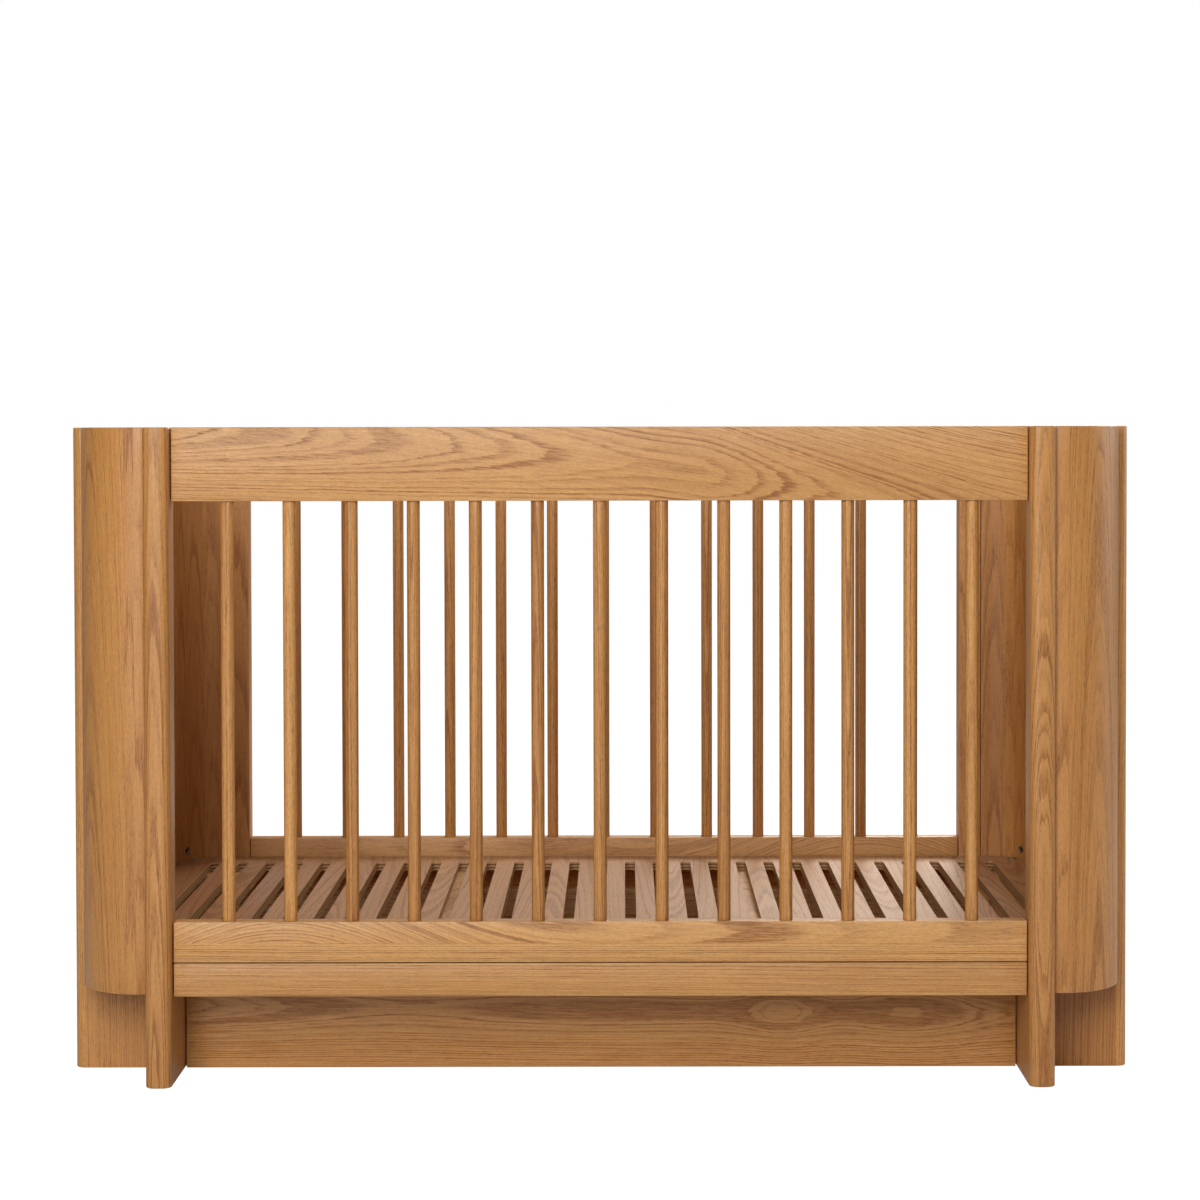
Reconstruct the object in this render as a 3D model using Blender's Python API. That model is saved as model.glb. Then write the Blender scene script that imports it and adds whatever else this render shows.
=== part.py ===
"""A child's cot in solid oak: two spindle sides, two round-cornered ends and a slotted mattress base.

Metres, +Z up. The origin is on the floor under the middle of the cot. X runs along its length and the
front side faces -Y. Every piece is its own object; the front side and the mattress base lift off.
"""

from math import cos, pi, radians, sin

import bmesh
import bpy
from mathutils import Matrix, Vector

# Overall
HEIGHT = 0.863
HALF_LENGTH = 0.6915          # outside of the end panels
HALF_WIDTH = 0.385            # outside of the corner shells, front and rear
WALL = 0.029                  # thickness of the end panels and the corner shells
CORNER_RADIUS = 0.0885        # outside radius of the corner shells
WALL_BOTTOM = 0.120           # the walls stop this far above the floor
GAP = 0.0003                  # between two pieces that touch

# Upright planks: legs face front and rear, side planks face the two ends
PLANK = 0.035
PLANK_PROUD = 0.017           # how far a plank's nose stands out of the wall beside it
NOSE_RADIUS = 0.012
LEG_X = 0.5775                # centre planes of the planks
SIDE_PLANK_Y = 0.265
EASE = 0.0015                 # small chamfer on boards' edges

# Mattress base
BASE_TOP = 0.186
BASE_THICK = 0.0125
BASE_CLEARANCE = 0.0025       # all round, to the walls
SLOTS = 29
SLOT_PITCH = 0.043
SLOT_SHIFT = -0.0025          # the row of slots sits a little left of the board's middle
SLOT_WIDTH = 0.0155
SLOT_MARGIN = 0.0595          # from the wall's inside to a slot's end
BEARER_X = 0.2125
BEARER_WIDTH = 0.045
BEARER_CLEARANCE = 0.003      # between a bearer's end and the ledge

# Boards and spindles of the long sides
BOARD = 0.025                 # thickness of rails, aprons and plinths
RAIL_Y = 0.3705               # centre plane of rails, aprons and spindles
RAIL_END_GAP = 0.001
TOP_RAIL_HEIGHT = 0.0967
BOTTOM_RAIL = (0.1618, 0.215)  # bottom and top
APRON = (0.117, 0.1612)       # bottom and top
LEDGE_BOTTOM = 0.1465         # the ledge glued along an apron's inside carries the base
LEDGE_WIDTH = 0.020
PLINTH_TOP = 0.150
SPINDLES = 13
SPINDLE_PITCH = 0.0813
SPINDLE_RADIUS = 0.0086
SOCKET_DEPTH = 0.012

# Hardware
INSERT_Z = 0.1995
INSERT_TURN = radians(30)     # its place round the corner, from the end wall
INSERT_RADIUS = 0.006
INSERT_LENGTH = 0.014
INSERT_BORE = (0.003, 0.011)   # radius and depth
BOLT_PLACE = (0.640, 0.324)
BOLT_HEAD = (0.0068, 0.0012)   # radius and height above the base
BOLT_SHANK = (0.003, 0.026)    # radius and length below the head
BOLT_NUT = (0.0060, 0.008)     # radius and height, under the base

INNER_LENGTH = HALF_LENGTH - WALL
INNER_WIDTH = HALF_WIDTH - WALL
BASE_BOTTOM = BASE_TOP - BASE_THICK
SHOULDER = BASE_BOTTOM - GAP
LEG_OUTER = LEG_X + PLANK / 2
LEG_INNER = LEG_X - PLANK / 2
SIDE_PLANK_FRONT = SIDE_PLANK_Y + PLANK / 2
SIDE_PLANK_BACK = SIDE_PLANK_Y - PLANK / 2
CORNER_CENTRE = Vector((HALF_LENGTH - CORNER_RADIUS, HALF_WIDTH - CORNER_RADIUS))
YZ_PLAN = Matrix(((0, 0, 1), (1, 0, 0), (0, 1, 0)))      # turns an outline's X and Y into Y and Z
SIDES = (("front", -1), ("rear", 1))
ENDS = (("left", -1), ("right", 1))


def clear_scene():
    for obj in list(bpy.data.objects):
        bpy.data.objects.remove(obj)


def make_material(name, colour, roughness, metallic=0.0):
    material = bpy.data.materials.new(name)
    material.use_nodes = True
    shader = material.node_tree.nodes["Principled BSDF"]
    shader.inputs["Base Color"].default_value = (*colour, 1.0)
    shader.inputs["Roughness"].default_value = roughness
    shader.inputs["Metallic"].default_value = metallic
    return material


def add_object(name, bm, material):
    """Closes a bmesh into a named object with its faces pointing out."""
    bmesh.ops.recalc_face_normals(bm, faces=bm.faces)
    mesh = bpy.data.meshes.new(name)
    bm.to_mesh(mesh)
    bm.free()
    if material:
        mesh.materials.append(material)
    mesh.shade_smooth()
    mesh.set_sharp_from_angle(angle=radians(30))
    obj = bpy.data.objects.new(name, mesh)
    bpy.context.scene.collection.objects.link(obj)
    return obj


def add_cutter(name, bm):
    cutter = add_object(name, bm, None)
    cutter.hide_render = True
    cutter.display_type = "WIRE"
    return cutter


def cut(obj, cutter):
    modifier = obj.modifiers.new("cut_" + cutter.name, "BOOLEAN")
    modifier.operation = "DIFFERENCE"
    modifier.solver = "EXACT"
    modifier.object = cutter


def extrude_outline(points, low, high):
    """A bmesh prism on a plan outline, from z = low to z = high."""
    bm = bmesh.new()
    face = bm.faces.new([bm.verts.new((x, y, low)) for x, y in points])
    top = bmesh.ops.extrude_face_region(bm, geom=[face])["geom"]
    moved = [v for v in top if isinstance(v, bmesh.types.BMVert)]
    bmesh.ops.translate(bm, vec=(0, 0, high - low), verts=moved)
    return bm


def arc(centre, radius, start, end, steps):
    angles = [start + (end - start) * i / steps for i in range(steps + 1)]
    return [(centre[0] + radius * cos(a), centre[1] + radius * sin(a)) for a in angles]


def add_board(name, low, high, material):
    """A rectangular board between two corners, with its edges eased."""
    low, high = Vector(low), Vector(high)
    bm = bmesh.new()
    bmesh.ops.create_cube(bm, size=1.0)
    bmesh.ops.scale(bm, vec=high - low, verts=bm.verts)
    bmesh.ops.translate(bm, vec=(high + low) / 2, verts=bm.verts)
    bmesh.ops.bevel(bm, geom=bm.edges[:], offset=EASE, segments=1, affect="EDGES")
    return add_object(name, bm, material)


def add_turned(name, profile, segments, place, material):
    """A closed solid of revolution from (radius, height) points; the first and last lie on the axis."""
    bm = bmesh.new()
    verts = [bm.verts.new((r, 0, z)) for r, z in profile]
    edges = [bm.edges.new(pair) for pair in zip(verts, verts[1:])]
    bmesh.ops.spin(bm, geom=verts + edges, cent=(0, 0, 0), axis=(0, 0, 1), angle=2 * pi,
                   steps=segments, use_merge=True)
    bmesh.ops.remove_doubles(bm, verts=bm.verts, dist=1e-6)
    bmesh.ops.transform(bm, matrix=place, verts=bm.verts)
    return add_object(name, bm, material)


def add_cylinders(bm, spots, radius, low, high, segments):
    for x, y in spots:
        place = Matrix.Translation((x, y, (low + high) / 2))
        bmesh.ops.create_cone(bm, cap_ends=True, segments=segments, radius1=radius, radius2=radius,
                              depth=high - low, matrix=place)


def add_stepped_plank(name, nose, upper_inner, lower_inner, material):
    """A plank that stands on the floor in the local XZ plane, its rounded nose towards +X.

    Above the shoulder it reaches in to upper_inner, and below it to lower_inner.
    """
    outline = [(lower_inner, 0), (nose, 0), (nose, HEIGHT), (upper_inner, HEIGHT), (upper_inner, SHOULDER),
               (lower_inner, SHOULDER)]
    bm = bmesh.new()
    face = bm.faces.new([bm.verts.new((x, -PLANK / 2, z)) for x, z in outline])
    back = bmesh.ops.extrude_face_region(bm, geom=[face])["geom"]
    moved = [v for v in back if isinstance(v, bmesh.types.BMVert)]
    bmesh.ops.translate(bm, vec=(0, PLANK, 0), verts=moved)
    upright = [e for e in bm.edges if all(abs(v.co.x - nose) < 1e-6 for v in e.verts)
               and abs(e.verts[0].co.z - e.verts[1].co.z) > 0.1]
    bmesh.ops.bevel(bm, geom=upright, offset=NOSE_RADIUS, segments=5, profile=0.5, affect="EDGES")
    ends = [e for e in bm.edges if all(v.co.z < 1e-6 for v in e.verts)
            or all(v.co.z > HEIGHT - 1e-6 for v in e.verts)]
    bmesh.ops.bevel(bm, geom=ends, offset=EASE, segments=1, affect="EDGES")
    return add_object(name, bm, material)


def add_legs(oak):
    for side, sy in SIDES:
        for end, sx in ENDS:
            leg = add_stepped_plank(f"leg_{side}_{end}", HALF_WIDTH + PLANK_PROUD, INNER_WIDTH,
                                    SIDE_PLANK_BACK, oak)
            leg.location.x = sx * LEG_X
            leg.rotation_euler.z = sy * pi / 2


def add_side_planks(oak):
    for side, sy in SIDES:
        for end, sx in ENDS:
            plank = add_stepped_plank(f"side_plank_{side}_{end}", HALF_LENGTH + PLANK_PROUD, INNER_LENGTH,
                                      LEG_OUTER + GAP, oak)
            plank.location.y = sy * SIDE_PLANK_Y
            plank.rotation_euler.z = 0 if sx > 0 else pi


def add_corner_shells(oak, steel):
    """Quarter-round walls between each leg and the side plank next to it, each with a threaded insert."""
    inner = CORNER_RADIUS - WALL
    leg_face, plank_face = LEG_OUTER + GAP, SIDE_PLANK_FRONT + GAP
    outline = [(leg_face, HALF_WIDTH)]
    outline += arc(CORNER_CENTRE, CORNER_RADIUS, pi / 2, 0, 12)
    outline += [(HALF_LENGTH, plank_face), (INNER_LENGTH, plank_face)]
    outline += arc(CORNER_CENTRE, inner, 0, pi / 2, 12)
    outline += [(leg_face, INNER_WIDTH)]
    for side, sy in SIDES:
        for end, sx in ENDS:
            plan = [(sx * x, sy * y) for x, y in outline]
            shell = add_object(f"corner_{side}_{end}", extrude_outline(plan, WALL_BOTTOM, HEIGHT), oak)
            outward = Vector((sx * cos(INSERT_TURN), sy * sin(INSERT_TURN), 0))
            mouth = Vector((sx * CORNER_CENTRE.x, sy * CORNER_CENTRE.y, INSERT_Z)) + outward * inner
            place = Matrix.Translation(mouth) @ outward.to_track_quat("Z", "Y").to_matrix().to_4x4()
            hole = Matrix.Translation(outward * (INSERT_LENGTH / 2)) @ place
            bm = bmesh.new()
            bmesh.ops.create_cone(bm, cap_ends=True, segments=14, radius1=INSERT_RADIUS + GAP,
                                  radius2=INSERT_RADIUS + GAP, depth=INSERT_LENGTH + 4 * GAP, matrix=hole)
            cut(shell, add_cutter(f"cutter_insert_{side}_{end}", bm))
            bore, depth = INSERT_BORE
            profile = [(0, depth), (bore, depth), (bore, 2 * GAP), (INSERT_RADIUS, 2 * GAP),
                       (INSERT_RADIUS, INSERT_LENGTH), (0, INSERT_LENGTH)]
            add_turned(f"insert_{side}_{end}", profile, 14, place, steel)


def add_end_panels(oak):
    for end, sx in ENDS:
        near, far = sorted((sx * INNER_LENGTH, sx * HALF_LENGTH))
        reach = SIDE_PLANK_BACK - GAP
        add_board(f"end_panel_{end}", (near, -reach, WALL_BOTTOM), (far, reach, HEIGHT), oak)


def spindle_spots(y):
    return [((i - (SPINDLES - 1) / 2) * SPINDLE_PITCH, y) for i in range(SPINDLES)]


def add_spindle_side(side, sy, oak, parent):
    """Top rail, bottom rail and spindles of one long side; the spindles sit in sockets in the rails."""
    y, reach = sy * RAIL_Y, LEG_INNER - RAIL_END_GAP
    near, far = y - BOARD / 2, y + BOARD / 2
    low, high = BOTTOM_RAIL[1], HEIGHT - TOP_RAIL_HEIGHT
    top = add_board(f"{side}_top_rail", (-reach, near, high), (reach, far, HEIGHT), oak)
    bottom = add_board(f"{side}_bottom_rail", (-reach, near, BOTTOM_RAIL[0]), (reach, far, low), oak)
    for rail, z in ((top, high), (bottom, low)):
        bm = bmesh.new()
        add_cylinders(bm, spindle_spots(y), SPINDLE_RADIUS + GAP, z - SOCKET_DEPTH, z + SOCKET_DEPTH, 12)
        cut(rail, add_cutter("cutter_" + rail.name, bm))
    spindles = []
    for number, spot in enumerate(spindle_spots(y), 1):
        bm = bmesh.new()
        add_cylinders(bm, [spot], SPINDLE_RADIUS, low - SOCKET_DEPTH + GAP, high + SOCKET_DEPTH - GAP, 12)
        spindles.append(add_object(f"{side}_spindle_{number:02d}", bm, oak))
    for obj in [top, bottom] + spindles:
        obj.parent = parent


def add_aprons_and_plinths(oak):
    """The low boards of the long sides; a ledge on each apron's inside stands up to the mattress base."""
    reach = LEG_INNER - RAIL_END_GAP
    low, high = APRON
    outer, inner = RAIL_Y + BOARD / 2, RAIL_Y - BOARD / 2
    shelf, ledge_top = inner - LEDGE_WIDTH, BASE_BOTTOM - GAP
    section = [(outer, low), (outer, high), (inner - GAP, high), (inner - GAP, ledge_top),
               (shelf, ledge_top), (shelf, LEDGE_BOTTOM), (inner, LEDGE_BOTTOM), (inner, low)]
    for side, sy in SIDES:
        bm = extrude_outline([(sy * y, z) for y, z in section], -reach, reach)
        bmesh.ops.rotate(bm, matrix=YZ_PLAN, verts=bm.verts)
        add_object(f"{side}_apron", bm, oak)
        near, far = sorted((sy * (SIDE_PLANK_FRONT - BOARD), sy * SIDE_PLANK_FRONT))
        add_board(f"{side}_plinth", (-reach, near, 0), (reach, far, PLINTH_TOP), oak)


def rounded_rectangle(half_x, half_y, radius, steps):
    points = []
    for quarter, (sx, sy) in enumerate(((1, 1), (-1, 1), (-1, -1), (1, -1))):
        centre = (sx * (half_x - radius), sy * (half_y - radius))
        points += arc(centre, radius, quarter * pi / 2, (quarter + 1) * pi / 2, steps)
    return points


def add_mattress_base(veneer, oak, steel, parent):
    """The slotted board, the two bearers under it and the four bolts near its corners."""
    corner = CORNER_RADIUS - WALL - BASE_CLEARANCE
    outline = rounded_rectangle(INNER_LENGTH - BASE_CLEARANCE, INNER_WIDTH - BASE_CLEARANCE, corner, 8)
    board = add_object("mattress_base", extrude_outline(outline, BASE_BOTTOM, BASE_TOP), veneer)

    bm = bmesh.new()
    half = INNER_WIDTH - SLOT_MARGIN
    for i in range(SLOTS):
        x = (i - (SLOTS - 1) / 2) * SLOT_PITCH + SLOT_SHIFT
        slot = rounded_rectangle(SLOT_WIDTH / 2, half, SLOT_WIDTH / 2 - GAP, 3)
        low = [bm.verts.new((x + px, py, BASE_BOTTOM - BASE_THICK)) for px, py in slot]
        high = [bm.verts.new((v.co.x, v.co.y, BASE_TOP + BASE_THICK)) for v in low]
        bm.faces.new(low)
        bm.faces.new(high)
        for j in range(len(slot)):
            k = (j + 1) % len(slot)
            bm.faces.new((low[j], low[k], high[k], high[j]))
    bolts = [(sx * BOLT_PLACE[0], sy * BOLT_PLACE[1]) for _, sx in ENDS for _, sy in SIDES]
    add_cylinders(bm, bolts, BOLT_SHANK[0] + GAP, BASE_BOTTOM - BASE_THICK, BASE_TOP + BASE_THICK, 12)
    cut(board, add_cutter("cutter_mattress_base", bm))

    pieces = [board]
    for end, sx in ENDS:
        x, reach = sx * BEARER_X, RAIL_Y - BOARD / 2 - LEDGE_WIDTH - BEARER_CLEARANCE
        pieces.append(add_board(f"base_bearer_{end}", (x - BEARER_WIDTH / 2, -reach, PLINTH_TOP + GAP),
                                (x + BEARER_WIDTH / 2, reach, BASE_BOTTOM - GAP), oak))
    head, height = BOLT_HEAD
    shank, length = BOLT_SHANK
    nut, nut_height = BOLT_NUT
    under = -BASE_THICK - GAP
    profile = [(0, height + GAP), (head - height, height + GAP), (head, height / 2 + GAP), (head, GAP),
               (shank, GAP), (shank, under), (nut, under), (nut, under - nut_height),
               (shank, under - nut_height), (shank, -length), (0, -length)]
    for side, sy in SIDES:
        for end, sx in ENDS:
            place = Matrix.Translation((sx * BOLT_PLACE[0], sy * BOLT_PLACE[1], BASE_TOP))
            pieces.append(add_turned(f"base_bolt_{side}_{end}", profile, 16, place, steel))
    for obj in pieces:
        obj.parent = parent


def main():
    clear_scene()
    oak = make_material("oiled_oak", (0.50, 0.25, 0.09), 0.42)
    veneer = make_material("oak_veneer", (0.44, 0.27, 0.15), 0.5)
    steel = make_material("zinc_plated_steel", (0.55, 0.53, 0.5), 0.35, 1.0)
    front_side = bpy.data.objects.new("front_side", None)
    base_lift = bpy.data.objects.new("mattress_base_lift", None)
    for empty in (front_side, base_lift):
        bpy.context.scene.collection.objects.link(empty)

    add_legs(oak)
    add_side_planks(oak)
    add_corner_shells(oak, steel)
    add_end_panels(oak)
    for side, sy in SIDES:
        add_spindle_side(side, sy, oak, front_side if side == "front" else None)
    add_aprons_and_plinths(oak)
    add_mattress_base(veneer, oak, steel, base_lift)
    bpy.context.view_layer.update()


main()
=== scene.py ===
from math import cos, exp, pi, radians, sin

import bpy
from mathutils import Matrix, Vector


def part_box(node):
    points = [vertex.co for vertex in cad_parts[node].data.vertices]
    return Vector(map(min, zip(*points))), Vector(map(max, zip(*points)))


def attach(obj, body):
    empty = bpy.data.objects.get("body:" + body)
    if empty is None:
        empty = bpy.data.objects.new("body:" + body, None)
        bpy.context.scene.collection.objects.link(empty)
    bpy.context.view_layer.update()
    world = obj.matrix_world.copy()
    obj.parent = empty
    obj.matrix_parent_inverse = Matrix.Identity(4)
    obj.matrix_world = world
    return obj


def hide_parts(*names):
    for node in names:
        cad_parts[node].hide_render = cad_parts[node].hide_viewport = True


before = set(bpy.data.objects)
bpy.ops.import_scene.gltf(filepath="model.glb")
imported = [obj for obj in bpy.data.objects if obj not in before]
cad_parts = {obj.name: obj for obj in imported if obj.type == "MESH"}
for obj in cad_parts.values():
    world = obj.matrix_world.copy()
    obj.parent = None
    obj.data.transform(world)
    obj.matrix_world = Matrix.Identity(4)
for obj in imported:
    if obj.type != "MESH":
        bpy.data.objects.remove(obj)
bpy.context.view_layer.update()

gap = 0.0003  # the frame's own gap between two touching pieces
panelLow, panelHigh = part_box("end_panel_right")
legLow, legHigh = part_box("leg_front_right")
finLow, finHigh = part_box("side_plank_front_right")
shellLow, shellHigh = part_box("corner_front_right")
baseLow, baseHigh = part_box("mattress_base")
wall = panelHigh.x - panelLow.x
halfLength, halfWidth = panelHigh.x, -shellLow.y
innerLength, innerWidth = halfLength - wall, halfWidth - wall
shoulder = baseLow.z - gap  # the planks step inwards here, under the base
sides = (("front", -1), ("rear", 1))
ends = (("left", -1), ("right", 1))


def makeActive(piece):
    if bpy.context.object and bpy.context.object.mode != "OBJECT":
        bpy.ops.object.mode_set(mode="OBJECT")
    bpy.ops.object.select_all(action="DESELECT")
    if piece:
        piece.select_set(True)
        bpy.context.view_layer.objects.active = piece


def applyPlace(piece):
    makeActive(piece)
    bpy.ops.object.transform_apply(location=True, rotation=True, scale=True)


def addBlock(name, low, high):
    makeActive(None)
    low, high = Vector(low), Vector(high)
    bpy.ops.mesh.primitive_cube_add(size=1, location=(low + high) / 2)
    piece = bpy.context.object
    piece.name = name
    piece.scale = high - low
    applyPlace(piece)
    return piece


def addRound(name, centre, radius, height, steps):
    makeActive(None)
    bpy.ops.mesh.primitive_cylinder_add(vertices=steps, radius=radius, depth=height, location=centre)
    piece = bpy.context.object
    piece.name = name
    applyPlace(piece)
    return piece


def pick(piece, kind, test):  # opens edit mode with the faces or edges that pass the test selected
    makeActive(piece)
    bpy.ops.object.mode_set(mode="EDIT")
    bpy.ops.mesh.select_mode(type=kind)
    bpy.ops.mesh.select_all(action="DESELECT")
    bpy.ops.object.mode_set(mode="OBJECT")
    mesh = piece.data
    if kind == "FACE":
        for face in mesh.polygons:
            face.select = test(face.center, face.normal)
    else:
        for edge in mesh.edges:
            edge.select = test(*(mesh.vertices[i].co for i in edge.vertices))
    bpy.ops.object.mode_set(mode="EDIT")


def closeEdit():
    bpy.ops.object.mode_set(mode="OBJECT")


def extrudeFaces(piece, test, move):
    pick(piece, "FACE", test)
    bpy.ops.mesh.extrude_region_move(TRANSFORM_OT_translate={"value": move})
    closeEdit()


def bevelEdges(piece, width, steps, test):
    pick(piece, "EDGE", test)
    bpy.ops.mesh.bevel(offset=width, segments=steps, profile=0.5, affect="EDGES")
    closeEdit()


def runsAlong(axis, a, b):
    return abs((b - a).normalized()[axis]) > 0.99


def cutAcross(piece, place, normal):  # a joint line right through the piece
    makeActive(piece)
    bpy.ops.object.mode_set(mode="EDIT")
    bpy.ops.mesh.select_all(action="SELECT")
    bpy.ops.mesh.bisect(plane_co=place, plane_no=normal)
    closeEdit()


def divideAlong(piece, axis, cuts):  # gives a long board enough sections for its grain to bend
    length = max(v.co[axis] for v in piece.data.vertices) - min(v.co[axis] for v in piece.data.vertices)
    pick(piece, "EDGE", lambda a, b: runsAlong(axis, a, b) and (b - a).length > length * 0.2)
    bpy.ops.mesh.subdivide(number_cuts=cuts)
    closeEdit()


def cleanUp(piece):
    makeActive(piece)
    bpy.ops.object.mode_set(mode="EDIT")
    bpy.ops.mesh.select_all(action="SELECT")
    bpy.ops.mesh.remove_doubles(threshold=0.00002)
    bpy.ops.mesh.select_all(action="SELECT")
    bpy.ops.mesh.normals_make_consistent(inside=False)
    closeEdit()


def easeEdges(piece, width, steps=2, angle=40):  # rounds every sharp edge and remembers where, for the wear
    makeActive(piece)
    bpy.ops.object.mode_set(mode="EDIT")
    bpy.ops.mesh.select_mode(type="EDGE")
    bpy.ops.mesh.select_all(action="DESELECT")
    bpy.ops.mesh.edges_select_sharp(sharpness=radians(angle))
    bpy.ops.mesh.bevel(offset=width, segments=steps, profile=0.5, affect="EDGES")
    closeEdit()
    markWear(piece, width)


def markWear(piece, width):
    mesh = piece.data
    wear = mesh.attributes.get("edgeWear") or mesh.attributes.new("edgeWear", "FLOAT", "FACE")
    for face in mesh.polygons:
        corners = [mesh.vertices[i].co for i in face.vertices]
        shortest = min((a - b).length for a, b in zip(corners, corners[1:] + corners[:1]))
        if face.select and shortest < width * 1.1:
            wear.data[face.index].value = 1


def useModifier(piece, kind, settings):
    makeActive(piece)
    modifier = piece.modifiers.new("shape", kind)
    for name, value in settings.items():
        setattr(modifier, name, value)
    bpy.ops.object.modifier_apply(modifier="shape")


def joinPieces(pieces):
    makeActive(None)
    for piece in pieces:
        piece.select_set(True)
    bpy.context.view_layer.objects.active = pieces[0]
    if len(pieces) > 1:
        bpy.ops.object.join()
    return pieces[0]


def drill(piece, cutters):
    cutter = joinPieces(cutters)
    useModifier(piece, "BOOLEAN", {"operation": "DIFFERENCE", "solver": "EXACT", "object": cutter})
    bpy.data.objects.remove(cutter)


def copyPiece(piece, name, flipX=False, flipY=False, move=(0, 0, 0)):
    makeActive(piece)
    bpy.ops.object.duplicate(linked=False)
    copy = bpy.context.object
    copy.name = name
    copy.scale = (-1 if flipX else 1, -1 if flipY else 1, 1)
    copy.location = move
    applyPlace(copy)
    cleanUp(copy)
    return copy


def finishPiece(piece, material, body, nodes, angle=32):
    makeActive(piece)
    bpy.ops.object.shade_smooth_by_angle(angle=radians(angle))
    piece.data.materials.clear()
    piece.data.materials.append(material)
    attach(piece, body)
    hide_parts(*nodes)


def addNode(tree, kind, settings, inputs):  # a shader node with its settings and its sockets' values or links
    node = tree.nodes.new(kind)
    for name, value in settings.items():
        setattr(node, name, value)
    for name, value in inputs.items():
        if isinstance(value, bpy.types.NodeSocket):
            tree.links.new(value, node.inputs[name])
        else:
            node.inputs[name].default_value = value
    return node


def calc(tree, operation, a, b=0.0, clamp=False):
    settings = {"operation": operation, "use_clamp": clamp}
    return addNode(tree, "ShaderNodeMath", settings, {0: a, 1: b}).outputs[0]


def ramp(tree, value, start, end, low=0.0, high=1.0):
    inputs = {"Value": value, "From Min": start, "From Max": end, "To Min": low, "To Max": high}
    return addNode(tree, "ShaderNodeMapRange", {"interpolation_type": "SMOOTHSTEP"}, inputs).outputs[0]


def stretch(tree, vector, scale):
    return addNode(tree, "ShaderNodeVectorMath", {"operation": "MULTIPLY"}, {0: vector, 1: scale}).outputs[0]


def noise(tree, vector, detail=0.0, roughness=0.5):
    inputs = {"Vector": vector, "Scale": 1.0, "Detail": detail, "Roughness": roughness}
    return addNode(tree, "ShaderNodeTexNoise", {"noise_dimensions": "3D"}, inputs).outputs["Fac"]


def noiseLine(tree, value):
    inputs = {"W": value, "Scale": 1.0, "Detail": 1.0}
    return addNode(tree, "ShaderNodeTexNoise", {"noise_dimensions": "1D"}, inputs).outputs["Fac"]


def blendColours(tree, factor, a, b, kind="MIX"):
    node = addNode(tree, "ShaderNodeMix", {"data_type": "RGBA", "blend_type": kind}, {0: factor, 6: a, 7: b})
    return node.outputs[2]


def newGroup(name, inputs, outputs):
    group = bpy.data.node_groups.new(name, "ShaderNodeTree")
    for label, kind, value in inputs:
        socket = group.interface.new_socket(label, in_out="INPUT", socket_type="NodeSocket" + kind)
        if value is not None:
            socket.default_value = value
    for label, kind in outputs:
        group.interface.new_socket(label, in_out="OUTPUT", socket_type="NodeSocket" + kind)
    start = group.nodes.new("NodeGroupInput")
    end = group.nodes.new("NodeGroupOutput")
    return group, start.outputs, end.inputs


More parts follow.
